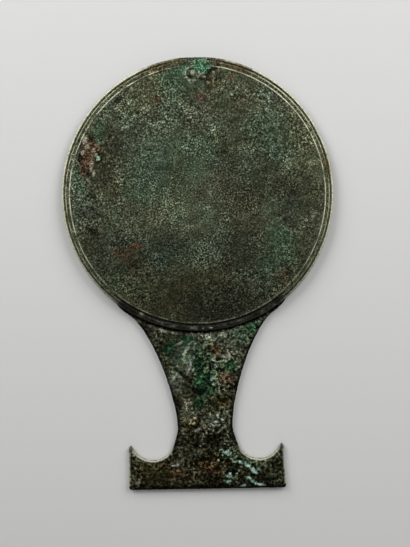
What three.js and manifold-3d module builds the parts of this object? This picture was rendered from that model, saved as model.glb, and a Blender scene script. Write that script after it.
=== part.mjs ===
// A bronze hand mirror lying on its back, with its polished face up.
// Units are millimetres and +Z is up. The origin is on the surface that the mirror lies on, under the
// middle of its length. +Y runs from the foot of the handle to the top of the disc.
import * as THREE from 'three';
import { mergeVertices } from 'three/addons/utils/BufferGeometryUtils.js';
import Module from 'manifold-3d';

const wasm = await Module();
wasm.setup();

// Whole mirror
const overallLength = 194;

// Disc: a thin plate with a thicker rim, turned on its face and hollowed at its back
const discDiameter = 120;
const rimHeight = 4.2;
const faceCrown = 0.6;
const backHollow = 1.6;
const backRimWidth = 8;
const backRimRound = 0.4;
const rimEdgeRound = 0.6;

// Mouldings of the disc's face, measured inwards from its edge
const lipWidth = 1.0;
const grooveWidth = 0.5;
const grooveDepth = 0.55;
const outerBeadWidth = 0.7;
const bandWidth = 0.9;
const innerBeadWidth = 0.8;
const beadHeight = 0.35;
const outerBeadHeight = 0.25;
const lipFall = 0.15;

// Boss on the axis, near the top of the disc
const bossDiameter = 2.9;
const bossHeight = 0.9;
const bossSide = 0.2;
const bossFromEdge = 7.0;
const bossRoot = 0.8;

// Handle plate
const plateThickness = 3.0;
const gripWidth = 25;
const waistAboveNotch = 5.2;
const waistSweep = 2.5;
const flareLow = 13;
const flareHigh = 14.5;
const flareTurn = 14;
const edgeRound = 0.5;
const seatEdgeRound = 1.0;

// Foot of the handle, with a round notch on each side of the grip
const footWidth = 72.4;
const hornSpread = 71;
const footBar = 13.4;
const footCorner = 1.0;
const notchFromGrip = 1.6;
const notchTurn = 15;
const hornTipRadius = 0.7;
const hornTipAngle = 22;

// Seat: a thin tongue of the handle that reaches under the disc's rim, and two horns beside the rim
const seatClearance = 0.3;
const seatLap = 4;
const seatThickness = 1.8;
const seatHalfAngle = 40;
const seatHornWidth = 1.4;
const shoulderAngle = 30.5;

// How finely curves are cut into straight steps, and how far a cut runs past what it cuts
const turnSteps = 80;
const bossTurnSteps = 20;
const fieldSteps = 4;
const domeSteps = 3;
const cornerSteps = 4;
const tipSteps = 6;
const notchSteps = 18;
const waistSteps = 4;
const flareSteps = 16;
const seatSteps = 8;
const rebateSteps = 24;
const bevelSteps = 2;
const cutMargin = 2;
const mergeDistance = 1e-4;

// Places worked out from the sizes
const discRadius = discDiameter / 2;
const discCentreY = overallLength / 2 - discRadius;
const footY = -overallLength / 2;
const gripHalf = gripWidth / 2;
const seatRadius = discRadius + seatClearance;
const tongueRadius = discRadius - seatLap;
const shoulderRadius = seatRadius + seatHornWidth;

const radians = THREE.MathUtils.degToRad;

// How far the middle of a rounded corner stands in from its two sides, as a share of its radius
const roundInset = 1 - Math.SQRT1_2;

// Joins the shared corners of a geometry and drops the triangles that close up to nothing.
function toSolid(geometry) {
  const bare = geometry.clone();
  bare.deleteAttribute('normal');
  bare.deleteAttribute('uv');
  const joined = mergeVertices(bare, mergeDistance);
  const corners = joined.index.array;
  const triangles = [];
  for (let i = 0; i < corners.length; i += 3) {
    const [a, b, c] = [corners[i], corners[i + 1], corners[i + 2]];
    if (a !== b && b !== c && c !== a) triangles.push(a, b, c);
  }
  return new wasm.Manifold(new wasm.Mesh({
    numProp: 3,
    vertProperties: new Float32Array(joined.attributes.position.array),
    triVerts: new Uint32Array(triangles),
  }));
}

// Turns a finished solid into a mesh with its own material.
function toMesh(solid, name, material) {
  const { vertProperties, triVerts } = solid.getMesh();
  const geometry = new THREE.BufferGeometry();
  geometry.setAttribute('position', new THREE.BufferAttribute(new Float32Array(vertProperties), 3));
  geometry.setIndex(new THREE.BufferAttribute(new Uint32Array(triVerts), 1));
  geometry.computeVertexNormals();
  const mesh = new THREE.Mesh(geometry, material);
  mesh.name = name;
  return mesh;
}

// Turns a profile of [radius, height] pairs about the disc's axis, shifted along Y to its centre.
function turned(profile, centreY = discCentreY, steps = turnSteps) {
  const points = profile.map(([radius, height]) => new THREE.Vector2(radius, height));
  const geometry = new THREE.LatheGeometry(points, steps);
  geometry.rotateX(Math.PI / 2);
  geometry.translate(0, centreY, 0);
  return toSolid(geometry);
}

// A point at a radius from the disc's centre, at an angle from the handle's side of the axis.
function fromDisc(radius, degrees) {
  const angle = radians(degrees);
  return new THREE.Vector2(radius * Math.sin(angle), discCentreY - radius * Math.cos(angle));
}

// Height of the face at a radius: a shallow crown, highest at the centre.
function faceHeight(radius, fieldRadius) {
  const share = radius / fieldRadius;
  return rimHeight - beadHeight + faceCrown * (1 - share * share);
}

// Face profile of the disc, from the outer edge to the centre.
function faceProfile() {
  const band = rimHeight - beadHeight;
  const lipInner = discRadius - lipWidth;
  const grooveInner = lipInner - grooveWidth;
  const outerBeadInner = grooveInner - outerBeadWidth;
  const bandInner = outerBeadInner - bandWidth;
  const fieldRadius = bandInner - innerBeadWidth;
  const field = [];
  for (let i = fieldSteps; i >= 0; i -= 1) {
    const radius = fieldRadius * i / fieldSteps;
    field.push([radius, faceHeight(radius, fieldRadius)]);
  }
  return [
    [discRadius, rimHeight - rimEdgeRound],
    [discRadius - rimEdgeRound * roundInset, rimHeight - rimEdgeRound * roundInset],
    [discRadius - rimEdgeRound, rimHeight],
    [lipInner, rimHeight - lipFall],
    [lipInner - grooveWidth / 2, rimHeight - grooveDepth],
    [grooveInner, band],
    [grooveInner - outerBeadWidth / 2, band + outerBeadHeight],
    [outerBeadInner, band],
    [bandInner, band],
    [bandInner - innerBeadWidth / 2, rimHeight],
    ...field,
  ];
}

// Back and edge of the disc, from its centre out to the edge.
function backProfile() {
  const rimInner = discRadius - backRimWidth;
  return [
    [0, backHollow],
    [rimInner - backHollow, backHollow],
    [rimInner - backRimRound, backRimRound],
    [rimInner + backRimRound, 0],
    [discRadius - rimEdgeRound, 0],
    [discRadius, rimEdgeRound],
  ];
}

// A flat block in the shape of part of a ring, on the handle's side of the disc.
function ringSector(innerRadius, outerRadius, halfAngle, low, high) {
  const start = -Math.PI / 2 - radians(halfAngle);
  const end = -Math.PI / 2 + radians(halfAngle);
  const shape = new THREE.Shape();
  shape.absarc(0, discCentreY, outerRadius, start, end, false);
  shape.absarc(0, discCentreY, innerRadius, end, start, true);
  const geometry = new THREE.ExtrudeGeometry(shape, {
    depth: high - low, bevelEnabled: false, curveSegments: rebateSteps,
  });
  geometry.translate(0, 0, low);
  return toSolid(geometry);
}

// The small boss: a dome on a low upright side, with its root sunk in the disc.
function boss() {
  const radius = bossDiameter / 2;
  const band = rimHeight - beadHeight;
  const profile = [
    [0, band - bossRoot],
    [radius, band - bossRoot],
  ];
  for (let i = 0; i <= domeSteps; i += 1) {
    const angle = radians(90 * i / domeSteps);
    const rise = (bossHeight - bossSide) * Math.sin(angle);
    profile.push([i < domeSteps ? radius * Math.cos(angle) : 0, band + bossSide + rise]);
  }
  return turned(profile, discCentreY + discRadius - bossFromEdge, bossTurnSteps);
}

// The disc, cut away at the back where the tongue of the handle carries its rim.
function disc() {
  const gapAngle = THREE.MathUtils.radToDeg(seatClearance / discRadius);
  const rebate = ringSector(
    tongueRadius - seatClearance, discRadius + cutMargin,
    seatHalfAngle + gapAngle, -cutMargin, seatThickness + seatClearance,
  );
  return turned([...backProfile(), ...faceProfile()]).add(boss()).subtract(rebate);
}

// Points of a circle's arc from one angle to another, both in degrees.
function arc(centre, radius, from, to, steps) {
  const points = [];
  for (let i = 0; i <= steps; i += 1) {
    const angle = radians(from + (to - from) * i / steps);
    points.push(new THREE.Vector2(
      centre.x + radius * Math.cos(angle), centre.y + radius * Math.sin(angle),
    ));
  }
  return points;
}

// Points of a smooth curve between two ends, leaving and arriving along the given angles.
function sweep(start, leaveAngle, leaveLength, end, arriveAngle, arriveLength, steps) {
  const leave = new THREE.Vector2(leaveLength, 0).rotateAround(new THREE.Vector2(), radians(leaveAngle));
  const arrive = new THREE.Vector2(arriveLength, 0).rotateAround(new THREE.Vector2(), radians(arriveAngle));
  const curve = new THREE.CubicBezierCurve(
    start, start.clone().add(leave), end.clone().sub(arrive), end,
  );
  return curve.getPoints(steps);
}

// Outer side of a horn beside the rim, thinning from the shoulder to its end.
function seatHorn() {
  const points = [];
  for (let i = 0; i <= seatSteps; i += 1) {
    const share = i / seatSteps;
    const angle = shoulderAngle + (seatHalfAngle - shoulderAngle) * share;
    points.push(fromDisc(seatRadius + seatHornWidth * (1 - share * share), angle));
  }
  return points;
}

// Far edge of the tongue under the disc, from its side to the middle.
function tongueEnd() {
  const points = [];
  for (let i = 0; i <= seatSteps; i += 1) {
    points.push(fromDisc(tongueRadius, seatHalfAngle * (1 - i / seatSteps)));
  }
  return points;
}

// Right half of the handle's outline, from the foot's middle up to the tongue.
function handleHalf() {
  const tipX = hornSpread / 2 - hornTipRadius;
  const lean = Math.cos(radians(hornTipAngle));
  const notchLeft = gripHalf + notchFromGrip;
  const notchRadius = (tipX - notchLeft - hornTipRadius * lean) / (1 + lean);
  const notch = new THREE.Vector2(notchLeft + notchRadius, footY + footBar + notchRadius);
  const reach = notchRadius + hornTipRadius;
  const tip = new THREE.Vector2(tipX, notch.y - reach * Math.sin(radians(hornTipAngle)));
  const corner = new THREE.Vector2(footWidth / 2 - footCorner, footY + footCorner);
  const notchArc = arc(notch, notchRadius, -hornTipAngle, -180 + notchTurn, notchSteps);
  const waist = new THREE.Vector2(gripHalf, notch.y + waistAboveNotch);
  const shoulder = fromDisc(shoulderRadius, shoulderAngle);
  const notchEnd = notchArc[notchArc.length - 1];
  return [
    ...arc(corner, footCorner, -90, 0, cornerSteps),
    ...arc(tip, hornTipRadius, 0, 180 - hornTipAngle, tipSteps),
    ...notchArc.slice(1),
    ...sweep(notchEnd, 90 + notchTurn, waistSweep, waist, 90, waistSweep, waistSteps).slice(1),
    ...sweep(waist, 90, flareLow, shoulder, shoulderAngle + flareTurn, flareHigh, flareSteps).slice(1),
    ...seatHorn().slice(1),
    ...tongueEnd(),
  ];
}

// The handle's plate with its upper edges rounded, before the disc's seat is cut.
function plate() {
  const half = handleHalf();
  const mirrored = half.slice(0, -1).reverse().map((p) => new THREE.Vector2(-p.x, p.y));
  const outline = new THREE.Shape([...half, ...mirrored]);
  const geometry = new THREE.ExtrudeGeometry(outline, {
    depth: plateThickness,
    bevelEnabled: true,
    bevelThickness: edgeRound,
    bevelSize: edgeRound,
    bevelOffset: -edgeRound,
    bevelSegments: bevelSteps,
  });
  geometry.translate(0, 0, -edgeRound);
  return toSolid(geometry);
}

// What is cut from the plate above the tongue, so that the disc's edge stands in it.
function seatCut() {
  const top = plateThickness;
  return turned([
    [0, seatThickness],
    [seatRadius, seatThickness],
    [seatRadius, top - seatEdgeRound],
    [seatRadius + seatEdgeRound * roundInset, top - seatEdgeRound * roundInset],
    [seatRadius + seatEdgeRound, top],
    [seatRadius + seatEdgeRound, top + cutMargin],
    [0, top + cutMargin],
  ]);
}

// A block below the resting surface, which squares off the plate's back.
function belowFloor() {
  const block = new THREE.BoxGeometry(footWidth + overallLength, overallLength * 2, cutMargin);
  block.translate(0, 0, -cutMargin / 2);
  return toSolid(block);
}

function handle() {
  return plate().subtract(seatCut()).subtract(belowFloor());
}

const discBronze = new THREE.MeshStandardMaterial({ color: 0x555b47, roughness: 0.72, metalness: 0.35 });
const handleBronze = new THREE.MeshStandardMaterial({ color: 0x4b5142, roughness: 0.85, metalness: 0.25 });

const mirror = new THREE.Group();
mirror.name = 'hand_mirror';
mirror.add(toMesh(disc(), 'disc', discBronze));
mirror.add(toMesh(handle(), 'handle', handleBronze));

export default mirror;
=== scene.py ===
import math

import bmesh
import bpy
from mathutils import Matrix, Vector, kdtree, noise


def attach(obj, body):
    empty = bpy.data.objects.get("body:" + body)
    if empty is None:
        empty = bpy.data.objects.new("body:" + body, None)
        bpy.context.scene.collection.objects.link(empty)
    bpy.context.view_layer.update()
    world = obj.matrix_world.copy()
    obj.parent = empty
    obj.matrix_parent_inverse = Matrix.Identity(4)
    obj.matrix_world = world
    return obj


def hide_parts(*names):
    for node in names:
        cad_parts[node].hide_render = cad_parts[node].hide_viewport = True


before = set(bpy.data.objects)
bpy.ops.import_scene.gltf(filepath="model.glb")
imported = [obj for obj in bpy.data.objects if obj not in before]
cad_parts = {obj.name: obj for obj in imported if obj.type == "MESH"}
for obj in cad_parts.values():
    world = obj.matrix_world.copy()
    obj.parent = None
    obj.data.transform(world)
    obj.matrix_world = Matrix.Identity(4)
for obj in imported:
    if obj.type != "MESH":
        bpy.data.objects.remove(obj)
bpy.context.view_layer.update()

# Disc: the mirror's round plate, cast in bronze and turned on its face. Two fine beads, a groove and a lip
# run round its rim, and a small round boss stands at twelve o'clock. Old green and brown patina covers it.
# Its sizes are in millimetres, and the finished mesh is scaled to metres.
DISC_RADIUS = 60.0
DISC_CENTRE_Y = 37.0
RIM_HEIGHT = 4.2
BAND_HEIGHT = 3.85
FACE_CROWN = 0.6
FIELD_RADIUS = 56.1
LIP_START = 59.0
LIP_RISE_WIDTH = 0.35

# Radius, half width and height or depth of the rim's beads and grooves. The low ones lie beside the handle.
INNER_BEAD = (56.5, 0.30, 0.26)
OUTER_BEAD = (58.15, 0.28, 0.18)
LIP_GROOVE = (58.75, 0.26, 0.32)
LOW_GROOVE = (57.35, 0.42, 0.34)
LOW_LIP = (58.8, 1.05, 0.30)

EDGE_ROUND = 0.6
EDGE_FOOT = RIM_HEIGHT - EDGE_ROUND
EDGE_ROUND_STEPS = 4
WALL_SHARES = (0.7, 0.55, 0.4, 0.27)
BACK_HOLLOW = 1.6
BACK_RIM_INNER = 52.0
BACK_SLOPE = ((0.0, 0.08), (0.5, 0.4), (1.1, 1.1))
REBATE_INNER = 55.7
REBATE_HEIGHT = 2.1
REBATE_HALF_ANGLE = math.radians(40.3)
FACE_SIDE = BACK_HOLLOW + 1.0
BOSS_Y = DISC_CENTRE_Y + 53.0
BOSS_RADIUS = 1.45
BOSS_HEIGHT = 0.9
BOSS_REACH = 4.2
FIELD_STEP = 0.75
MOULDING_STEP = 0.13
MOULDING_FROM = FIELD_RADIUS - 1.2
BACK_RIM_STEP = 0.9
BACK_HOLLOW_STEP = 2.0
TURNS = 480


def bulge(radius, centre, half_width, height):
    """Height of a half-round bead or groove at a radius."""
    share = (radius - centre) / half_width
    return height * math.sqrt(max(0.0, 1.0 - share * share))


def disc_face(radius):
    """Height of the turned face at a radius."""
    if radius < FIELD_RADIUS:
        return BAND_HEIGHT + FACE_CROWN * (1.0 - (radius / FIELD_RADIUS) ** 2)
    height = BAND_HEIGHT + bulge(radius, *INNER_BEAD) + bulge(radius, *OUTER_BEAD)
    height -= bulge(radius, *LIP_GROOVE)
    if radius > LIP_START:
        height += (RIM_HEIGHT - BAND_HEIGHT) * min(1.0, (radius - LIP_START) / LIP_RISE_WIDTH)
    return height


def quarter_round(corner_height, from_angle):
    """Points round one rounded corner of the disc's edge."""
    points = []
    for step in range(EDGE_ROUND_STEPS + 1):
        angle = math.radians(from_angle - 90 * step / EDGE_ROUND_STEPS)
        radius = DISC_RADIUS - EDGE_ROUND + EDGE_ROUND * math.cos(angle)
        points.append((radius, corner_height + EDGE_ROUND * math.sin(angle)))
    return points


def disc_profile():
    """Half section of the disc from the centre of its face, round its edge, to the centre of its back."""
    points = []
    radius = 0.0
    while radius < DISC_RADIUS - EDGE_ROUND:
        points.append((radius, disc_face(radius)))
        radius += FIELD_STEP if radius < MOULDING_FROM else MOULDING_STEP
    points += quarter_round(EDGE_FOOT, 90)
    points += [(DISC_RADIUS, RIM_HEIGHT * share) for share in WALL_SHARES]
    points += quarter_round(EDGE_ROUND, 0)
    radius = DISC_RADIUS - EDGE_ROUND - BACK_RIM_STEP
    while radius > BACK_RIM_INNER:
        points.append((radius, 0.0))
        radius -= BACK_RIM_STEP
    points += [(BACK_RIM_INNER - inwards, height) for inwards, height in BACK_SLOPE]
    radius = BACK_RIM_INNER - BACK_HOLLOW_STEP
    while radius > 0.0:
        points.append((radius, BACK_HOLLOW))
        radius -= BACK_HOLLOW_STEP
    return points + [(0.0, BACK_HOLLOW)]


def from_centre(x, y):
    """Distance of a point from the disc's middle."""
    return math.hypot(x, y - DISC_CENTRE_Y)


def from_handle(x, y):
    """Angle of a point round the disc, 0 towards the handle."""
    return abs(math.atan2(x, DISC_CENTRE_Y - y))


def clock_angle(x, y):
    """Angle of a point round the disc in degrees, 0 at twelve o'clock and growing to the right."""
    return math.degrees(math.atan2(x, y - DISC_CENTRE_Y))


bm = bmesh.new()
corners = [bm.verts.new((radius, 0.0, height)) for radius, height in disc_profile()]
section = [bm.edges.new(pair) for pair in zip(corners, corners[1:])]
bmesh.ops.spin(
    bm, geom=corners + section, cent=(0, 0, 0), axis=(0, 0, 1), angle=math.tau, steps=TURNS, use_merge=True,
)
bmesh.ops.remove_doubles(bm, verts=bm.verts, dist=0.001)
bmesh.ops.recalc_face_normals(bm, faces=bm.faces)
bmesh.ops.translate(bm, verts=bm.verts, vec=(0, DISC_CENTRE_Y, 0))

# The handle's tongue lies in a rebate at the back of the rim, so the back is raised there.
for vertex in bm.verts:
    x, y, z = vertex.co
    in_rebate = from_centre(x, y) > REBATE_INNER and from_handle(x, y) < REBATE_HALF_ANGLE
    if in_rebate and z < EDGE_FOOT:
        vertex.co.z = REBATE_HEIGHT + z * (EDGE_FOOT - REBATE_HEIGHT) / EDGE_FOOT

# Closer faces where the relief is fine: round the boss and at the thick crust by the left edge.
for x, y, reach, cuts in ((0.0, BOSS_Y, BOSS_REACH, 2), (-47.6, 57.5, 9.5, 1)):
    close = [
        edge for edge in bm.edges
        if all(math.hypot(v.co.x - x, v.co.y - y) < reach and v.co.z > FACE_SIDE for v in edge.verts)
    ]
    bmesh.ops.subdivide_edges(bm, edges=close, cuts=cuts, use_grid_fill=True)

disc_mesh = bpy.data.meshes.new("disc_patinated")
bm.to_mesh(disc_mesh)
bm.free()

# Stains and crusts of the face, by kind: middle x and y, half length, half width, turn in degrees, height.
DISC_MARKS = {
    "malachite": [
        (3.9, 92.4, 4.2, 2.0, -4, 0.14), (4.4, 94.8, 3.4, 0.8, -4, 0.06), (-2.4, 92.8, 1.4, 0.7, 10, 0.06),
    ],
    "teal": [
        (-6.5, 87.2, 8.0, 8.0, 20, 0.04), (-9.5, 80.0, 5.0, 6.0, 10, 0.02), (2.0, 84.5, 4.0, 3.0, 0, 0.03),
        (30.0, 62.0, 12.0, 9.0, -20, 0.0), (-14.0, 12.0, 12.0, 6.0, 0, 0.0),
        (30.0, 8.0, 12.0, 10.0, 30, 0.0), (0.0, 57.5, 24.0, 8.0, 8, 0.0),
        (-16.0, 45.0, 16.0, 11.0, -20, 0.0), (-42.0, 68.0, 3.0, 6.0, -12, 0.0),
        (14.0, 77.0, 6.0, 4.5, 30, 0.0), (37.0, 16.5, 4.0, 7.0, 20, 0.02),
        (-30.0, -2.0, 10.0, 5.0, -30, 0.0),
    ],
    "verdigris": [
        (-8.5, 88.5, 4.5, 4.0, 20, 0.04), (-42.6, 64.6, 1.6, 5.0, -12, 0.02),
        (-52.0, 45.0, 1.6, 6.5, 6, 0.02), (36.8, 15.5, 5.0, 7.5, 20, 0.02),
    ],
    "ochre": [
        (-13.5, 94.1, 9.0, 2.2, 13, 0.22), (-4.5, 96.4, 2.5, 0.6, 4, 0.12),
        (11.0, 94.9, 5.5, 1.7, -10, 0.18), (20.5, 91.6, 7.0, 2.0, -21, 0.18),
        (57.2, 49.0, 1.2, 6.0, 12, 0.05),
    ],
    "brown": [
        (-57.8, 38.0, 1.6, 14.0, 0, 0.0), (-38.0, 54.0, 10.0, 11.0, 0, 0.0),
        (-41.0, 38.0, 9.0, 12.0, 0, 0.0), (9.0, 86.0, 5.2, 4.4, 0, 0.0), (19.0, 78.0, 10.0, 7.0, 0, 0.0),
        (22.0, 62.0, 11.0, 9.0, 0, 0.0), (8.0, -6.0, 24.0, 9.0, 0, 0.0), (18.0, 30.0, 8.0, 14.0, 0, 0.0),
        (-30.0, 5.0, 12.0, 8.0, -30, 0.0),
    ],
    "rust": [
        (-47.8, 56.4, 2.9, 7.6, -8, 0.40), (-44.4, 60.2, 2.2, 2.4, 0, 0.26), (3.1, 79.9, 2.0, 1.7, 0, 0.05),
        (-28.0, 16.0, 2.4, 1.7, 0, 0.04),
    ],
    "russet": [
        (-15.8, 79.2, 2.2, 1.7, 0, 0.05), (-33.2, 13.0, 5.0, 3.2, -14, 0.08),
        (36.6, 0.3, 2.5, 3.6, 20, 0.08), (16.8, 87.0, 1.7, 1.4, 0, 0.08), (10.8, 92.6, 0.9, 0.7, 30, 0.15),
        (8.0, 88.8, 0.8, 0.8, 0, 0.15),
    ],
    "crumb": [
        (-48.6, 63.4, 1.2, 1.5, 0, 0.55), (-47.4, 60.4, 1.3, 0.9, 30, 0.35),
        (-44.6, 58.6, 0.9, 0.8, 0, 0.30), (-46.0, 52.0, 0.8, 2.4, -8, 0.35),
        (-45.0, 48.6, 0.6, 1.5, -12, 0.25), (-49.6, 57.8, 0.7, 1.0, 0, 0.30),
        (-43.6, 56.6, 0.6, 1.0, 0, 0.30), (-21.6, 76.2, 0.5, 0.4, 0, 0.15), (19.0, 83.6, 0.7, 0.6, 0, 0.15),
        (23.0, 81.8, 0.8, 0.5, 20, 0.15), (17.0, 80.4, 0.5, 0.5, 0, 0.12), (13.0, 94.0, 1.1, 0.4, 20, 0.2),
        (11.6, 92.2, 0.5, 0.4, 0, 0.2), (9.4, 90.2, 0.5, 0.4, 0, 0.2), (5.2, 88.4, 0.5, 0.4, 0, 0.2),
        (7.0, 86.0, 0.5, 0.4, 0, 0.2), (4.0, -21.7, 1.0, 0.25, 6, 0.1), (0.6, -22.0, 0.4, 0.2, 0, 0.1),
        (-26.5, -14.6, 0.8, 0.4, -30, 0.1),
    ],
    # Mostly dark hollows and dark crust; the mark at -1.2, 89.0 is painted shade on the lower left of the
    # boss's dome.
    "shade": [
        (-50.6, 62.6, 1.0, 2.4, 10, -0.15), (-45.6, 64.2, 1.0, 2.6, 30, -0.15),
        (-50.8, 55.4, 1.0, 2.2, 0, -0.15), (-47.6, 49.4, 0.8, 1.8, -10, -0.12),
        (-42.6, 55.6, 1.6, 2.2, 0, -0.12), (-41.6, 54.6, 0.4, 1.2, 0, -0.12),
        (-46.9, 23.2, 1.9, 1.6, 0, -0.08), (11.6, 55.9, 2.6, 0.6, 2, -0.28),
        (8.6, 91.2, 5.4, 1.1, 36, -0.06), (4.6, 87.6, 2.4, 0.9, -20, -0.06),
        (-1.2, 89.0, 0.5, 1.3, 45, -0.06), (6.4, 87.4, 0.8, 1.2, 0, -0.06),
        (-33.0, 80.0, 2.6, 1.0, 40, -0.05),
    ],
    "pale": [
        (46.0, 54.0, 8.0, 17.0, 6, 0.0), (22.0, 80.0, 13.0, 5.0, -30, 0.0),
        (46.0, 22.0, 5.0, 14.0, -18, 0.0), (-6.0, 30.0, 13.0, 10.0, 0, 0.0),
        (-26.0, 78.0, 18.0, 6.0, 38, 0.0), (-46.0, 70.0, 4.0, 9.0, -35, 0.0),
        (-31.0, -7.0, 14.0, 5.0, -36, 0.0), (-12.0, -15.5, 14.0, 3.0, -14, 0.0),
        (34.0, -8.0, 9.0, 3.0, 40, 0.0),
    ],
    "gloom": [
        (-46.0, 20.0, 6.0, 20.0, 8, 0.0), (-42.0, 50.0, 6.0, 8.0, 0, 0.0),
        (-30.0, 14.0, 12.0, 6.0, -30, 0.0), (-13.0, 17.0, 10.0, 8.0, 0, 0.0),
        (18.0, 12.0, 10.0, 9.0, 0, 0.0), (24.0, 40.0, 16.0, 9.0, 30, 0.0), (42.0, 34.0, 7.0, 12.0, 0, 0.0),
        (10.0, -12.0, 12.0, 7.0, 0, 0.0), (10.0, -9.0, 16.0, 5.0, 0, 0.0), (14.0, 50.0, 8.0, 4.0, 0, 0.0),
        (-36.0, 62.0, 9.0, 6.0, 20, 0.0),
    ],
    "turquoise": [
        (-42.8, 55.2, 0.75, 1.1, -8, 0.35),
    ],
}

# How soft the border of each kind of stain or crust is, as a share of its size.
SOFTNESS = {
    "malachite": 0.9, "teal": 1.6, "ochre": 1.2, "brown": 1.6, "rust": 1.1, "pale": 1.5, "crumb": 0.7,
    "russet": 1.4, "ridge": 0.9, "olive": 1.5, "turquoise": 0.6, "verdigris": 1.5, "gloom": 1.7, "shade": 0.8,
}
MARK_REACH = 1.7
UPWARD = 0.3
DOWNWARD = -0.5
ROUGHNESS = ((1.1, 1.0), (0.5, 0.6), (3.2, 0.9))
PIT_SPACING = 1.9
PIT_RADIUS = 0.34
PIT_DEPTH = 1.6
LUMP_SIZE = 0.8
CALM_EFFECT = 0.75
DISC_ROUGHNESS = 0.045
TWELVE_CRUST_CLOCK, TWELVE_CRUST_FADE = 1.0, 9.0
HUG_END, HUG_FADE = math.radians(44), math.radians(9)


def clamp(value, low=0.0, high=1.0):
    """The value, kept between two limits."""
    return min(high, max(low, value))


def ease(share):
    """A smooth step from 0 to 1."""
    share = clamp(share)
    return share * share * (3.0 - 2.0 * share)


def hump(value, centre, width):
    """1 at the centre, falling to 0 on both sides of it."""
    return math.exp(-((value - centre) / width) ** 2)


def mottle(x, y, layer, size):
    """A smooth random value from about -1 to 1, in patches of a size in millimetres."""
    return noise.noise(Vector((x, y, layer)) / size)


def blotches(x, y):
    """Random patches of two sizes, which break up the dark seams."""
    return mottle(x, y, 2.0, 1.6) + 0.6 * mottle(x, y, 5.0, 0.7)


def mark_strength(x, y, mark, softness):
    """How strongly a mark covers a point, from 0 to 1, with a ragged edge."""
    middle_x, middle_y, half_length, half_width, turn, _ = mark
    dx, dy = x - middle_x, y - middle_y
    reach = max(half_length, half_width) * MARK_REACH
    if abs(dx) > reach or abs(dy) > reach:
        return 0.0
    cos, sin = math.cos(math.radians(turn)), math.sin(math.radians(turn))
    across = math.hypot((dx * cos + dy * sin) / half_length, (dy * cos - dx * sin) / half_width)
    size = min(half_length, half_width)
    ragged = 0.5 * mottle(x, y, middle_x, 0.8 * size) + 0.25 * mottle(x, y, middle_y, 0.3 * size)
    return ease(0.5 + (1.0 - across + ragged) / softness)


def store(mesh, name, values):
    """Keeps a number for each point of a mesh, which its material reads by name."""
    attribute = mesh.attributes.get(name) or mesh.attributes.new(name, "FLOAT", "POINT")
    attribute.data.foreach_set("value", values)


def encrust(mesh, marks, depth, calm):
    """Roughens a piece along its normals, raises its crusts and stores how each kind of mark covers it.

    depth is the height of the roughness, and calm(point) is 1 where fresh metal work stays crisp. The side
    that it lies on is only pitted."""
    cover = {kind: [0.0] * len(mesh.vertices) for kind in SOFTNESS}
    moved = []
    for index, vertex in enumerate(mesh.vertices):
        place, normal = vertex.co, vertex.normal
        roughness = sum(strength * noise.noise(place / size) for size, strength in ROUGHNESS)
        pit = max(0.0, PIT_RADIUS - noise.voronoi(place / PIT_SPACING)[0][0]) / PIT_RADIUS
        height = depth * (roughness - PIT_DEPTH * pit) * (1.0 - CALM_EFFECT * calm(place))
        if normal.z > UPWARD:
            lumps = 0.75 + 0.7 * noise.noise(place / LUMP_SIZE)
            for kind, places in marks.items():
                for mark in places:
                    strength = mark_strength(place.x, place.y, mark, SOFTNESS[kind])
                    if strength > 0.0:
                        cover[kind][index] = max(cover[kind][index], strength)
                        height += mark[-1] * strength * lumps
        if normal.z < DOWNWARD:
            height = min(0.0, height)
        moved.append(place + normal * height)
    for vertex, place in zip(mesh.vertices, moved):
        vertex.co = place
    for kind, values in cover.items():
        store(mesh, kind, values)
    return cover


def finish_mesh(mesh):
    """Scales a mesh from millimetres to metres and shades it smooth."""
    mesh.transform(Matrix.Scale(0.001, 4))
    mesh.polygons.foreach_set("use_smooth", [True] * len(mesh.polygons))


def crust_at_twelve(x, y):
    """1 near twelve o'clock, where corrosion hides the rim's lines."""
    return clamp(1.6 - abs(clock_angle(x, y) - TWELVE_CRUST_CLOCK) / TWELVE_CRUST_FADE)


def disc_calm(place):
    """Turned lines of the rim stay crisp, but for the crusts."""
    on_rim = from_centre(place.x, place.y) > FIELD_RADIUS - 0.4
    return (0.8 if on_rim else 0.0) * (1.0 - crust_at_twelve(place.x, place.y))


def beside_handle(x, y):
    """1 on the part of the rim that the handle hugs, falling to 0 beyond the horns."""
    return ease((HUG_END - from_handle(x, y)) / HUG_FADE)


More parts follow.
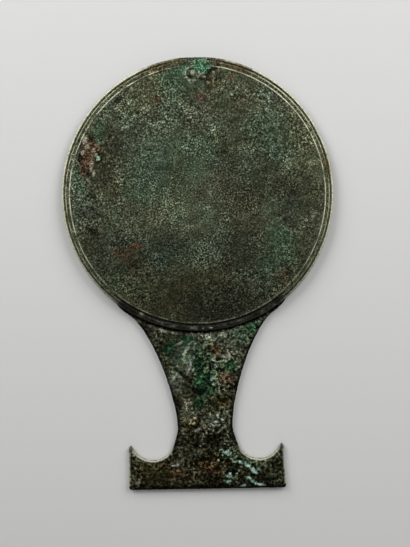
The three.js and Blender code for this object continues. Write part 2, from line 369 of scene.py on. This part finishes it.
# The lip is one smooth roll beside the handle, lumps fill the rim's lines near twelve o'clock, the boss
# stands up inside a moat and a ring of crust, and the edge has a nick.
LOW_BAND_START = 56.9
MOAT_RADIUS, MOAT_WIDTH, MOAT_DEPTH = 1.9, 0.4, 0.25
RING_RADIUS, RING_WIDTH, RING_HEIGHT = 3.0, 0.5, 0.35
NICK_X, NICK_Y, NICK_REACH, NICK_DEPTH = 54.3, 62.4, 3.2, 0.35
for vertex in disc_mesh.vertices:
    x, y, z = vertex.co
    radius = from_centre(x, y)
    low = beside_handle(x, y)
    if low > 0.0 and LOW_BAND_START < radius < DISC_RADIUS - 0.2 and z > BAND_HEIGHT - 0.8:
        rolled = BAND_HEIGHT - bulge(radius, *LOW_GROOVE) + bulge(radius, *LOW_LIP)
        vertex.co.z += (rolled - z) * low
    if z > BAND_HEIGHT - 0.6 and FIELD_RADIUS < radius < DISC_RADIUS - 0.3:
        lumps = BAND_HEIGHT + 0.15 + 0.4 * mottle(x, y, 1.0, 1.3)
        vertex.co.z += (lumps - z) * crust_at_twelve(x, y)
    to_boss = math.hypot(x, y - BOSS_Y)
    if z > FACE_SIDE and to_boss < BOSS_REACH:
        vertex.co.z += bulge(to_boss, 0.0, BOSS_RADIUS, BOSS_HEIGHT)
        vertex.co.z -= MOAT_DEPTH * hump(to_boss, MOAT_RADIUS, MOAT_WIDTH)
        vertex.co.z += RING_HEIGHT * hump(to_boss, RING_RADIUS, RING_WIDTH) * (0.6 + mottle(x, y, 4.0, 1.0))
    nick = math.hypot(x - NICK_X, y - NICK_Y)
    if nick < NICK_REACH:
        push = NICK_DEPTH * (1.0 - nick / NICK_REACH)
        vertex.co.x -= push
        vertex.co.y -= push * 0.4
disc_mesh.update()
cover = encrust(disc_mesh, DISC_MARKS, DISC_ROUGHNESS, disc_calm)

# How bright the turned lines and the boss are, as rubbed metal and painted highlight, and how smooth and dark
# the lip is by the handle, with painted shade in its groove and towards the horns. The lines carry a painted
# glint that is strongest up right, and painted light from above makes them fade towards the handle.
INNER_LINE_WIDTH = 0.2
OUTER_LINE_WIDTH = 0.17
LIP_LINE_RADIUS = 59.6
LIP_LINE_WIDTH = 0.3
BRIGHTEST_CLOCK, BRIGHTEST_FADE = 38.0, 20.0
HORN_SHADE_START, HORN_SHADE_FADE = math.radians(19), math.radians(10)
rubbed_and_highlight, plain_and_shaded, band, dark = [], [], [], []
kinds_here = (cover[kind] for kind in ("ochre", "rust", "pale", "shade"))
for vertex, ochre, rust, pale, shade in zip(disc_mesh.vertices, *kinds_here):
    x, y, z = vertex.co
    radius = from_centre(x, y)
    low = beside_handle(x, y)
    on_low_band = low * (radius > LOW_BAND_START)
    # Painted light from above: the lines and the band between the beads grow lighter towards the top of the
    # disc and dim towards the handle.
    painted_top_light = 0.18 + 0.82 * clamp((y + 10.0) / 50.0)
    line = 0.0
    if z > BAND_HEIGHT - 0.6:
        # Rubbed metal shows at random along the beads, a painted glint brightens them up right, and the lip's
        # outer line is a painted highlight along its rounded edge.
        rubbed = clamp(0.8 + 1.6 * mottle(x, y, 7.0, 3.0), 0.2)
        bright = hump(clock_angle(x, y), BRIGHTEST_CLOCK, BRIGHTEST_FADE)
        line = (1.2 * rubbed + 0.8 * bright) * hump(radius, INNER_BEAD[0], INNER_LINE_WIDTH)
        line += (0.8 * rubbed + 0.5 * bright) * hump(radius, OUTER_BEAD[0], OUTER_LINE_WIDTH)
        line += 1.6 * hump(radius, LIP_LINE_RADIUS, LIP_LINE_WIDTH)
    line *= painted_top_light * (1.0 - crust_at_twelve(x, y))
    line *= (1.0 - 0.9 * max(ochre, rust)) * (1.0 - 0.9 * on_low_band)
    to_boss = math.hypot(x, y - BOSS_Y)
    broken = clamp(0.5 + 2.2 * mottle(x, y, 9.0, 0.7))
    ring = 0.5 * broken * hump(to_boss, RING_RADIUS, 0.4)
    # Painted highlight on the boss's dome, set off towards its upper right; the ring round it is crust.
    off_middle = math.hypot(x - 0.3, y - BOSS_Y - 0.3) / 1.05
    dome_highlight = 0.5 * math.exp(-off_middle ** 4) * (0.7 + 0.3 * broken)
    rubbed_and_highlight.append(min(1.0, max(line, dome_highlight, ring)))
    # The band between the beads is paler towards the top as painted light; the pale marks are patina.
    on_band = FIELD_RADIUS + 0.1 < radius < LIP_LINE_RADIUS - 0.2
    band.append(max(pale, 0.8 * painted_top_light * on_band * (1.0 - low)))
    # Painted shade in the low groove, on the rim towards the horns and at the edge beside the handle; the
    # streaks are the lip's own dark lines.
    blotch = blotches(x, y)
    groove = low * hump(radius - 0.25 * blotch, LOW_GROOVE[0] + 0.1, 0.68)
    to_horn = clamp((from_handle(x, y) - HORN_SHADE_START) / HORN_SHADE_FADE)
    horn = low * to_horn * (radius > LOW_BAND_START - 0.2) * clamp(0.85 + 0.5 * blotch)
    edge = low * clamp((radius - LIP_START + 0.4 * blotch) / 0.3)
    streaks = mottle(radius / 0.7, from_handle(x, y) * radius / 5.0, math.copysign(3.0, x), 1.0)
    streak = on_low_band * clamp(0.15 + 3.0 * streaks + 0.4 * blotch, 0.0, 0.85)
    dark.append(max(shade, min(1.0, groove), horn, edge, streak))
    # The lip beside the handle is plain and dark, partly as painted shade.
    smooth = clamp((radius - LOW_BAND_START + 0.2 * blotch) / 0.4)
    plain_and_shaded.append(low * smooth if z > 1 else 0.0)
for name, values in (("rubbed_and_highlight", rubbed_and_highlight), ("plain_and_shaded", plain_and_shaded), ("pale", band), ("shade", dark)):
    store(disc_mesh, name, values)
finish_mesh(disc_mesh)

# The patina's fine patterns. Their sizes are in millimetres, and the height of the relief is in metres.
CRACKS_PER_GRAIN = 0.9
PITS_PER_GRAIN = 0.75
WARP_SIZE = 1.0 / 0.55
WARP_REACH = 2.4
HOLLOW_SIZE = 1.0 / 0.42
LIP_PATCH_SIZE = 2.6
RUBBED_AND_HIGHLIGHT_METAL = 0.25
RELIEF_STRENGTH = 0.8
RELIEF_HEIGHT = 0.00022


def tone(code):
    """A colour as it is seen, such as 5a624b, in the form that a shader takes."""
    parts = [int(code[i:i + 2], 16) / 255 for i in (0, 2, 4)]
    return [part / 12.92 if part < 0.04045 else ((part + 0.055) / 1.055) ** 2.4 for part in parts] + [1.0]


def patina(name, grain, clumping, crinkle, tones, drift, darkening, crusts, rubbed_and_highlight_tone, plain_and_shaded_tones, shine):
    """Old patina on bronze: fine grain in several tones, a slow drift of hue, pits, and crusts by kind.

    grain is the size of the grain in millimetres, clumping how much it varies in brightness, and crinkle how
    strongly thin bright ridges run round dark hollows. tones are its colours from pit to high spot, drift the
    two hues that it wanders between, and darkening the low and high Y between which a tint fades out. Each of
    the crusts has its kind, a tint, the three colours that show where it is thick, their share, and how
    ragged its edge is. plain_and_shaded_tones colour the smooth dark parts, and shine is how much the surface reflects,
    with its hue."""
    material = bpy.data.materials.new(name)
    material.use_nodes = True
    nodes, links = material.node_tree.nodes, material.node_tree.links
    shader = nodes["Principled BSDF"]

    def add(kind, **settings):
        node = nodes.new(kind)
        for key, value in settings.items():
            setattr(node, key, value)
        return node

    coordinates = add("ShaderNodeTexCoord")
    to_mm = add("ShaderNodeMapping")
    to_mm.inputs["Scale"].default_value = (1000, 1000, 1000)
    links.new(coordinates.outputs["Object"], to_mm.inputs["Vector"])

    def speckle(size, detail=3.0, roughness=0.6):
        node = add("ShaderNodeTexNoise")
        node.inputs["Scale"].default_value = 1.0 / size
        node.inputs["Detail"].default_value = detail
        node.inputs["Roughness"].default_value = roughness
        links.new(to_mm.outputs["Vector"], node.inputs["Vector"])
        return node.outputs["Fac"]

    def remap(source, low, high, to_low=0.0, to_high=1.0):
        node = add("ShaderNodeMapRange")
        for key, value in (("From Min", low), ("From Max", high), ("To Min", to_low), ("To Max", to_high)):
            node.inputs[key].default_value = value
        links.new(source, node.inputs["Value"])
        return node.outputs["Result"]

    def ramp(source, stops):
        node = add("ShaderNodeValToRGB")
        elements = node.color_ramp.elements
        while len(elements) < len(stops):
            elements.new(0.5)
        for element, (position, colour) in zip(elements, stops):
            element.position = position
            element.color = tone(colour)
        links.new(source, node.inputs["Fac"])
        return node.outputs["Color"]

    def mix(under, over, factor, blend="MIX"):
        node = add("ShaderNodeMix", data_type="RGBA", blend_type=blend)
        for socket, value in ((node.inputs[6], under), (node.inputs[7], over), (node.inputs[0], factor)):
            if isinstance(value, (float, list)):
                socket.default_value = value
            else:
                links.new(value, socket)
        return node.outputs[2]

    def math_node(operation, first, second):
        node = add("ShaderNodeMath", operation=operation)
        for socket, value in zip(node.inputs, (first, second)):
            if isinstance(value, float):
                socket.default_value = value
            else:
                links.new(value, socket)
        return node.outputs[0]

    def stored(kind):
        return add("ShaderNodeAttribute", attribute_name=kind).outputs["Fac"]

    contrast = remap(speckle(grain * 16.0, 2.0, 0.5), 0.38, 0.62, 0.55, 1.15)
    centred = math_node("SUBTRACT", speckle(grain, 3.0, 0.7), 0.5)
    fine = math_node("ADD", math_node("MULTIPLY", centred, contrast), 0.5)
    tiny = speckle(grain * 0.45, 2.0, 0.6)
    middle = speckle(grain * 5.0, 3.0, 0.55)
    broad = speckle(grain * 26.0, 3.0, 0.6)
    cells = add("ShaderNodeTexVoronoi", feature="DISTANCE_TO_EDGE")
    cells.inputs["Scale"].default_value = CRACKS_PER_GRAIN / grain
    links.new(to_mm.outputs["Vector"], cells.inputs["Vector"])
    crackle = remap(cells.outputs["Distance"], 0.0, 0.16)
    colour = ramp(fine, tones)
    hue = mix(list(drift[0]) + [1.0], list(drift[1]) + [1.0], remap(broad, 0.4, 0.6))
    colour = mix(colour, hue, 1.0, "MULTIPLY")
    colour = mix(colour, remap(middle, 0.32, 0.68, 1.0 - clumping, 1.0 + clumping), 1.0, "MULTIPLY")
    colour = mix(colour, remap(crackle, 0.0, 1.0, 0.55, 1.12), 1.0, "MULTIPLY")
    veil = speckle(grain * 13.0, 2.0, 0.5)
    colour = mix(colour, remap(veil, 0.36, 0.64, 0.86, 1.14), 1.0, "MULTIPLY")

    # Ridges follow the walls of warped cells, and the cells' middles are hollow.
    warp = add("ShaderNodeTexNoise")
    warp.inputs["Scale"].default_value = 1.0 / WARP_SIZE
    links.new(to_mm.outputs["Vector"], warp.inputs["Vector"])
    warped = add("ShaderNodeVectorMath", operation="MULTIPLY_ADD")
    warped.inputs[1].default_value = (WARP_REACH, WARP_REACH, WARP_REACH)
    links.new(warp.outputs["Color"], warped.inputs[0])
    links.new(to_mm.outputs["Vector"], warped.inputs[2])
    hollows = add("ShaderNodeTexVoronoi", feature="DISTANCE_TO_EDGE")
    hollows.inputs["Scale"].default_value = 1.0 / HOLLOW_SIZE
    links.new(warped.outputs["Vector"], hollows.inputs["Vector"])
    hollow = remap(hollows.outputs["Distance"], 0.04, 0.34)
    wall = remap(hollows.outputs["Distance"], 0.02, 0.1, 1.0, 0.0)
    ridge = math_node("MULTIPLY", wall, remap(fine, 0.46, 0.6))
    ridge = math_node("MULTIPLY", ridge, remap(middle, 0.5, 0.62))
    colour = mix(colour, remap(hollow, 0.0, 1.0, 1.0 + 0.3 * crinkle, 1.0 - 0.72 * crinkle), 1.0, "MULTIPLY")
    colour = mix(colour, tone(tones[-1][1]), math_node("MULTIPLY", ridge, crinkle))

    # A tint lies over one end of the piece, partly darker patina and partly painted shade. The disc's lip by
    # the handle is smoother and plainer than the rest and darker, partly as painted shade, and the handle's
    # sides are darkened as painted shade.
    along = add("ShaderNodeSeparateXYZ")
    links.new(to_mm.outputs["Vector"], along.inputs["Vector"])
    # Partly darker patina and partly painted shade: the tint darkens the piece towards its low Y end.
    far, near, tint = darkening
    along_tint = mix(list(tint) + [1.0], [1.0, 1.0, 1.0, 1.0], remap(along.outputs["Y"], far, near))
    colour = mix(colour, along_tint, 1.0, "MULTIPLY")
    edge_light_and_shade = math_node("MULTIPLY", stored("plain_and_shaded"), remap(tiny, 0.3, 0.6, 0.7, 0.95))
    plain_and_shaded_tone = ramp(speckle(LIP_PATCH_SIZE, 3.0, 0.7), list(zip((0.38, 0.52, 0.66), plain_and_shaded_tones)))
    colour = mix(colour, plain_and_shaded_tone, edge_light_and_shade)

    # Each crust tints what lies under it, and where it is thick it shows tones of its own.
    for kind, tint, own_tones, share, ragged in crusts:
        edge = math_node("MULTIPLY", stored(kind), remap(tiny, 0.3, 0.7, 1.0 - ragged, 1.0 + ragged))
        cover = math_node("MULTIPLY", remap(edge, 0.1, 0.9), remap(middle, 0.35, 0.5, 0.7, 1.0))
        colour = mix(colour, mix(colour, list(tint) + [1.0], 1.0, "MULTIPLY"), cover)
        if own_tones:
            own = ramp(fine, list(zip((0.38, 0.5, 0.62), own_tones)))
            colour = mix(colour, own, math_node("MULTIPLY", cover, share))

    # Rubbed metal and painted highlights show on the high lines and edges, and pits stay dark.
    rubbed_and_highlight_cover = math_node("MULTIPLY", stored("rubbed_and_highlight"), remap(fine, 0.34, 0.54, 0.45, 1.0))
    colour = mix(colour, tone(rubbed_and_highlight_tone), rubbed_and_highlight_cover)
    pits = add("ShaderNodeTexVoronoi", feature="F1")
    pits.inputs["Scale"].default_value = PITS_PER_GRAIN / grain
    links.new(to_mm.outputs["Vector"], pits.inputs["Vector"])
    pit = remap(pits.outputs["Distance"], 0.12, 0.36)
    pit = math_node("MAXIMUM", pit, remap(middle, 0.44, 0.56, 1.0, 0.0))
    colour = mix(colour, remap(pit, 0.0, 1.0, 0.4, 1.0), 1.0, "MULTIPLY")
    links.new(colour, shader.inputs["Base Color"])
    links.new(remap(rubbed_and_highlight_cover, 0.0, 1.0, 0.0, RUBBED_AND_HIGHLIGHT_METAL), shader.inputs["Metallic"])
    gloss = math_node("SUBTRACT", remap(fine, 0.3, 0.7, 0.82, 0.6), remap(rubbed_and_highlight_cover, 0.0, 1.0, 0.0, 0.2))
    links.new(gloss, shader.inputs["Roughness"])
    relief = math_node("ADD", fine, math_node("MULTIPLY", tiny, 0.5))
    relief = math_node("ADD", relief, math_node("MULTIPLY", pit, 0.35))
    relief = math_node("ADD", relief, math_node("MULTIPLY", crackle, 0.2))
    relief = math_node("SUBTRACT", relief, math_node("MULTIPLY", hollow, 1.2 * crinkle))
    shader.inputs["Specular IOR Level"].default_value = shine[0]
    shader.inputs["Specular Tint"].default_value = list(shine[1]) + [1.0]
    bump = add("ShaderNodeBump")
    bump.inputs["Strength"].default_value = RELIEF_STRENGTH
    bump.inputs["Distance"].default_value = RELIEF_HEIGHT
    links.new(relief, bump.inputs["Height"])
    links.new(bump.outputs["Normal"], shader.inputs["Normal"])
    return material


DISC_CRUSTS = [
    ("pale", (1.22, 1.20, 1.14), (), 0.0, 0.2),
    ("teal", (0.87, 1.02, 1.0), (), 0.0, 0.25),
    ("gloom", (0.60, 0.58, 0.58), (), 0.0, 0.3),
    ("verdigris", (0.82, 1.05, 0.98), ("1a2c20", "3c5342", "7a937c"), 0.25, 0.25),
    ("brown", (0.90, 0.80, 0.74), (), 0.0, 0.25),
    ("ochre", (1.14, 0.97, 0.77), ("1a130a", "49392a", "968062"), 0.5, 0.3),
    ("russet", (1.22, 0.92, 0.78), ("150b07", "442d20", "86705c"), 0.25, 0.4),
    ("rust", (1.05, 0.78, 0.68), ("120705", "46291d", "8e705c"), 0.65, 0.35),
    ("malachite", (0.8, 1.35, 1.08), ("142e1f", "387352", "8cc8a3"), 0.7, 0.5),
    # Dark crust and hollows, and painted shade in the low groove, towards the horns and at the edge beside
    # the handle.
    ("shade", (0.16, 0.16, 0.15), (), 0.0, 0.15),
    ("turquoise", (1.3, 1.8, 1.4), ("5f8a6c", "8fb896", "c8e2c8"), 1.0, 0.1),
    ("crumb", (1.5, 1.44, 1.28), ("4c463a", "989078", "dcd8c0"), 0.85, 0.35),
]
disc = bpy.data.objects.new("mirror_disc", disc_mesh)
bpy.context.collection.objects.link(disc)
# The disc darkens towards the handle, partly darker patina and partly painted shade.
disc_mesh.materials.append(patina(
    "disc_patina", 0.74, 0.38, 0.15,
    [(0.33, "0b0d07"), (0.43, "272c1f"), (0.52, "4b5241"), (0.61, "7c8670"), (0.72, "c6cfb7")],
    ((1.06, 0.97, 0.86), (0.95, 1.03, 1.02)), (-14.0, 26.0, (0.42, 0.40, 0.36)), DISC_CRUSTS, "ecebcb",
    ("0a0a08", "2f2f2a", "66665c"), (0.10, (1.0, 0.96, 0.84)),
))
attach(disc, "root")
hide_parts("disc")

# Handle: a flat bronze casting soldered to the disc. Its hollow top hugs the disc's edge and ends in two thin
# horns, and its foot has two round notches and upturned tips. It is more corroded than the disc, with green,
# pale and rusty crusts, and its edges are worn round. It starts from a copy of the CAD piece.
HANDLE_GRID = 0.38
HANDLE_ROUGHNESS = 0.10
EDGE_FALL = 0.55
EDGE_REACH = 2.0
PLATE_TOP = 3.0
TONGUE_TOP = 1.9
SEAM_RADIUS = DISC_RADIUS + 1.4
FOOT_START_Y = -76.0
FOOT_SHADE_Y = -93.6
FOOT_SIDE_X = 34.4
TIP_SHADE_START, TIP_SHADE_FADE = math.radians(24), math.radians(5)

# Stains and crusts of the handle, by kind, in the same form as the disc's.
HANDLE_MARKS = {
    "malachite": [
        (-6.8, -27.0, 3.2, 1.8, 10, 0.12), (-15.0, -30.5, 3.0, 2.2, 50, 0.08),
        (-1.7, -37.6, 2.6, 3.6, 10, 0.12), (0.0, -47.0, 4.4, 6.0, 10, 0.12),
        (12.5, -39.5, 2.2, 1.8, 0, 0.12), (22.6, -21.5, 2.6, 3.4, -30, 0.06),
        (-2.6, -56.5, 2.4, 2.2, 0, 0.05), (3.4, -44.5, 2.2, 2.2, 0, 0.08),
    ],
    "teal": [
        (12.5, -39.5, 4.0, 3.2, 0, 0.0), (16.0, -86.0, 11.0, 6.5, -30, 0.0),
        (-14.0, -33.0, 6.0, 7.0, 0, 0.0), (-4.0, -35.0, 9.0, 8.0, 0, 0.0), (2.0, -46.0, 7.0, 10.0, 0, 0.0),
        (20.0, -25.0, 5.0, 6.0, 30, 0.0),
    ],
    "pale": [
        (-9.6, -31.0, 3.6, 1.7, 55, 0.20), (-6.4, -35.6, 3.4, 1.5, 60, 0.18),
        (-13.0, -41.5, 2.2, 1.0, 60, 0.10), (-11.6, -44.8, 3.0, 1.5, 55, 0.18),
        (13.0, -28.0, 4.0, 2.4, -20, 0.05), (12.0, -27.0, 7.0, 5.0, 0, 0.0),
        (-8.5, -34.0, 7.0, 4.0, 62, 0.0), (7.0, -26.0, 6.0, 3.0, 0, 0.03),
        (-12.0, -46.0, 3.6, 6.0, 10, 0.04), (-7.4, -60.0, 2.4, 5.0, 0, 0.06),
        (4.0, -63.5, 4.5, 3.0, 20, 0.06), (-4.6, -79.5, 2.4, 1.8, 0, 0.08),
        (-12.5, -84.0, 2.0, 1.2, 0, 0.08),
    ],
    "brown": [
        (5.5, -31.0, 3.0, 2.4, 0, 0.0), (6.0, -57.0, 5.5, 5.0, 0, 0.0), (-6.0, -66.0, 4.5, 3.0, 0, 0.0),
        (3.0, -84.0, 9.0, 5.0, 0, 0.0), (-22.0, -88.0, 10.0, 4.0, 0, 0.0),
    ],
    "rust": [
        (10.2, -45.0, 3.8, 2.5, 0, 0.16), (6.2, -34.0, 1.4, 1.3, 0, 0.08),
    ],
    "russet": [
        (-12.5, -89.5, 4.0, 3.0, 10, 0.06), (1.5, -87.0, 5.0, 4.0, 30, 0.05),
        (16.6, -89.0, 2.0, 1.6, 0, 0.08), (26.0, -90.5, 2.6, 1.2, 30, 0.05),
        (-15.6, -38.0, 1.2, 2.4, 20, 0.04), (5.2, -31.5, 3.0, 1.6, -20, 0.06),
        (-4.6, -57.5, 2.6, 1.6, 20, 0.04), (9.0, -56.6, 2.0, 1.2, 0, 0.04),
    ],
    "shade": [
        (-1.0, -51.0, 2.6, 1.3, 20, -0.1), (3.5, -73.5, 4.5, 2.2, 0, -0.06),
        (-10.0, -42.6, 6.6, 0.8, -45, -0.2), (-4.0, -50.5, 2.6, 1.0, -40, -0.15),
        (12.0, -89.0, 2.4, 1.6, 0, -0.08), (9.0, -55.0, 2.0, 1.0, 30, -0.1),
    ],
    "gloom": [
        (2.0, -75.5, 7.0, 3.0, -10, 0.0), (-1.0, -72.5, 9.0, 5.0, 0, 0.0), (0.0, -91.5, 12.0, 4.0, 0, 0.0),
        (29.0, -89.0, 8.0, 6.0, 0, 0.0),
    ],
    "olive": [
        (-24.0, -87.0, 8.0, 4.0, 0, 0.0), (28.0, -84.0, 5.0, 2.5, 20, 0.0),
    ],
    "ridge": [
        (-7.2, -31.5, 3.6, 0.7, 60, 0.25), (-5.6, -38.6, 4.2, 0.6, 68, 0.25),
        (-12.6, -43.4, 3.0, 0.6, 55, 0.2), (-10.8, -29.0, 2.0, 0.5, 20, 0.2),
        (4.0, -45.3, 0.9, 0.8, 0, 0.25), (4.6, -47.6, 0.6, 1.1, 0, 0.2), (-3.0, -68.5, 1.8, 0.4, 30, 0.15),
        (2.4, -66.0, 1.6, 0.4, -20, 0.15), (6.0, -62.0, 0.5, 1.4, 10, 0.15),
        (-14.0, -85.4, 1.8, 0.5, 4, 0.15),
    ],
    "turquoise": [
        (10.1, -79.9, 1.7, 1.2, 0, 0.30), (6.8, -78.4, 0.7, 0.4, 20, 0.15), (7.6, -80.8, 0.5, 0.4, 0, 0.15),
        (5.6, -83.4, 0.5, 0.5, 0, 0.15), (12.6, -83.6, 1.3, 0.5, -45, 0.2),
        (15.6, -84.4, 1.2, 0.6, -30, 0.22), (18.6, -85.6, 1.8, 0.8, -40, 0.30),
        (21.6, -88.4, 2.4, 0.9, -42, 0.30), (24.4, -88.0, 0.8, 0.5, -30, 0.2),
        (10.4, -90.6, 1.1, 1.2, 0, 0.30), (10.0, -93.2, 1.3, 0.7, 10, 0.25),
        (13.8, -89.6, 0.5, 0.5, 0, 0.20), (18.8, -91.6, 1.4, 0.6, -20, 0.2),
        (21.4, -93.6, 1.8, 0.7, -30, 0.26), (24.8, -95.0, 1.7, 0.6, -10, 0.22),
        (17.0, -95.2, 1.2, 0.5, 10, 0.15),
    ],
}

bm = bmesh.new()
bm.from_mesh(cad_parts["handle"].data)
bmesh.ops.remove_doubles(bm, verts=bm.verts, dist=0.00001)
bmesh.ops.scale(bm, verts=bm.verts, vec=(1000, 1000, 1000))
handle_mesh = bpy.data.meshes.new("handle_cast")
bm.to_mesh(handle_mesh)
bm.free()
handle = bpy.data.objects.new("mirror_handle", handle_mesh)
bpy.context.collection.objects.link(handle)
even = handle.modifiers.new("even_faces", "REMESH")
even.mode = "VOXEL"
even.voxel_size = HANDLE_GRID
handle_mesh = bpy.data.meshes.new_from_object(handle.evaluated_get(bpy.context.evaluated_depsgraph_get()))
handle.modifiers.clear()
handle.data = handle_mesh

# The plate's upper face falls away towards its outline, where use has rounded it.
outline = [v.co.copy() for v in handle_mesh.vertices if abs(v.normal.z) < 0.5 and v.co.z > 1.0]
nearest = kdtree.KDTree(len(outline))
for index, place in enumerate(outline):
    nearest.insert((place.x, place.y, 0.0), index)
nearest.balance()
rim_distance = []
for vertex in handle_mesh.vertices:
    distance = nearest.find((vertex.co.x, vertex.co.y, 0.0))[2]
    rim_distance.append(distance)
    if vertex.co.z > PLATE_TOP * 0.5:
        share = max(0.0, 1.0 - distance / EDGE_REACH)
        vertex.co.z -= EDGE_FALL * share * share * (vertex.co.z / PLATE_TOP)
handle_mesh.update()


def handle_calm(place):
    """The seat and the back are less rough than the face."""
    return 0.8 if from_centre(place.x, place.y) < SEAM_RADIUS or place.z < 0.3 else 0.0


cover = encrust(handle_mesh, HANDLE_MARKS, HANDLE_ROUGHNESS, handle_calm)

# Painted highlights as pale lines on the foot's worn notches and sides and along the face's top edge below
# the seam, and painted shade on the grip's sides, the horns, the seam and the foot's lower edge.
rubbed_and_highlight, plain_and_shaded, dark = [], [], []
for vertex, distance, shade in zip(handle_mesh.vertices, rim_distance, cover["shade"]):
    x, y, z = vertex.co
    radius = from_centre(x, y)
    blotch = blotches(x, y)
    foot = clamp((FOOT_START_Y - y) / 4.0)
    line_width = 0.8 if abs(x) > FOOT_SIDE_X else 0.28
    # Painted highlight along the foot's notches and sides.
    edge_light_and_shade = foot * max(0.0, 1.0 - distance / line_width) * (y > -95.0) * (z > 0.6)
    # Painted highlight along the top edge of the handle's face, just below the seam.
    seat = hump(radius, DISC_RADIUS + 2.0, 0.4) * clamp(0.4 + blotch)
    rubbed_and_highlight.append(max(edge_light_and_shade, 0.22 * seat * (z > 2.0)))
    # Painted shade on the grip's sides, which face away from the light.
    side = max(0.0, 1.0 - max(0.0, distance - 0.6) / 1.3) * (1.0 - foot) * (radius > DISC_RADIUS + 2.5)
    plain_and_shaded.append(side if z > 0.2 else 0.0)
    # Painted shadow on the recess floor under the disc's edge and on the horns, and painted shade along the
    # foot's lower edge.
    seam = clamp((SEAM_RADIUS + 0.5 * blotch - radius) / 0.4)
    to_horn = clamp((from_handle(x, y) - TIP_SHADE_START) / TIP_SHADE_FADE)
    at_disc = max(seam, 0.9 * to_horn * (radius < DISC_RADIUS + 5.0)) * (z > TONGUE_TOP)
    lower_edge = clamp((FOOT_SHADE_Y - y + 0.9 * blotch) / 1.6)
    dark.append(max(shade, at_disc, lower_edge))
for name, values in (("rubbed_and_highlight", rubbed_and_highlight), ("plain_and_shaded", plain_and_shaded), ("shade", dark)):
    store(handle_mesh, name, values)
finish_mesh(handle_mesh)

HANDLE_CRUSTS = [
    ("pale", (1.35, 1.40, 1.34), ("2a3029", "626d5e", "98a191"), 0.3, 0.5),
    ("olive", (1.45, 1.52, 1.35), (), 0.0, 0.45),
    ("teal", (0.80, 1.08, 0.98), (), 0.0, 0.4),
    ("gloom", (0.42, 0.41, 0.37), (), 0.0, 0.4),
    ("brown", (0.95, 0.80, 0.62), (), 0.0, 0.4),
    ("russet", (1.22, 0.94, 0.80), ("120806", "38241a", "6e5846"), 0.25, 0.45),
    ("rust", (1.38, 1.02, 0.80), ("1e120c", "5e4838", "ac927e"), 0.5, 0.45),
    ("malachite", (0.48, 0.84, 0.60), ("050d08", "12301f", "346a50"), 0.55, 0.45),
    ("ridge", (1.6, 1.65, 1.6), ("3c423a", "8d968a", "dfe4da"), 0.75, 0.5),
    # Dark crust, and painted shade at the seam, on the horns and along the foot's lower edge.
    ("shade", (0.16, 0.15, 0.13), (), 0.0, 0.3),
    ("turquoise", (1.4, 1.8, 1.7), ("3a5748", "7ea192", "cfe4d8"), 0.95, 0.5),
]
# The handle darkens towards the foot, partly darker patina and partly painted shade.
handle_mesh.materials.append(patina(
    "handle_patina", 1.3, 0.6, 0.9,
    [(0.36, "050504"), (0.45, "1d1e16"), (0.53, "424436"), (0.62, "7a7c69"), (0.74, "cfd0bd")],
    ((1.07, 0.98, 0.84), (0.97, 1.04, 0.96)), (-86.0, -62.0, (0.62, 0.63, 0.58)), HANDLE_CRUSTS, "c9c9b6",
    ("040402", "0b0b06", "22221a"), (0.03, (1.0, 0.86, 0.62)),
))
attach(handle, "root")
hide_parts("handle")

# Floor: a plain pale sheet under the mirror.
FLOOR_HALF_SIZE = 3.0
FLOOR_GREY = (0.72, 0.72, 0.71, 1.0)
bm = bmesh.new()
bmesh.ops.create_grid(bm, x_segments=1, y_segments=1, size=FLOOR_HALF_SIZE)
floor_mesh = bpy.data.meshes.new("floor")
bm.to_mesh(floor_mesh)
bm.free()
floor = bpy.data.objects.new("floor", floor_mesh)
bpy.context.collection.objects.link(floor)
floor_paint = bpy.data.materials.new("floor_paint")
floor_paint.use_nodes = True
paint = floor_paint.node_tree.nodes["Principled BSDF"]
paint.inputs["Base Color"].default_value = FLOOR_GREY
paint.inputs["Roughness"].default_value = 0.9
floor_mesh.materials.append(floor_paint)

# Soft studio light: two large lamps beyond the top of the disc, left and right, and a weaker one from the
# foot.
LIT_PLACE = Vector((0, 0.02, 0))
for name, place, size, power in (
    ("lamp_left", (-0.40, 0.52, 0.42), 0.5, 4.2),
    ("lamp_right", (0.45, 0.45, 0.42), 0.5, 3.6),
    ("lamp_foot", (0.10, -0.90, 0.70), 0.8, 1.0),
):
    light = bpy.data.lights.new(name, "AREA")
    light.size = size
    light.energy = power
    lamp = bpy.data.objects.new(name, light)
    lamp.location = place
    lamp.rotation_euler = (LIT_PLACE - Vector(place)).to_track_quat("-Z", "Y").to_euler()
    bpy.context.collection.objects.link(lamp)
world = bpy.data.worlds.new("studio")
world.use_nodes = True
world.node_tree.nodes["Background"].inputs["Color"].default_value = (1.0, 1.0, 1.0, 1.0)
world.node_tree.nodes["Background"].inputs["Strength"].default_value = 0.16
bpy.context.scene.world = world
bpy.context.scene.view_settings.view_transform = "Standard"

# Camera: above the mirror as it lies, a little beyond the disc's middle, looking down and towards the foot.
CAMERA_PLACE = Vector((0.01599, 0.03108, 0.31394))
CAMERA_AIM = Vector((0.00247, 0.00269, 0.003))
CAMERA_ROLL = math.radians(-2.02)
LENS_MM = 46.07
forward = (CAMERA_AIM - CAMERA_PLACE).normalized()
right = forward.cross(Vector((0, 1, 0))).normalized()
up = right.cross(forward)
across = right * math.cos(CAMERA_ROLL) + up * math.sin(CAMERA_ROLL)
along = up * math.cos(CAMERA_ROLL) - right * math.sin(CAMERA_ROLL)
lens = bpy.data.cameras.new("camera")
lens.lens = LENS_MM
camera = bpy.data.objects.new("camera", lens)
facing = Matrix((across, along, -forward)).transposed().to_4x4()
camera.matrix_world = Matrix.Translation(CAMERA_PLACE) @ facing
bpy.context.collection.objects.link(camera)
bpy.context.scene.camera = camera
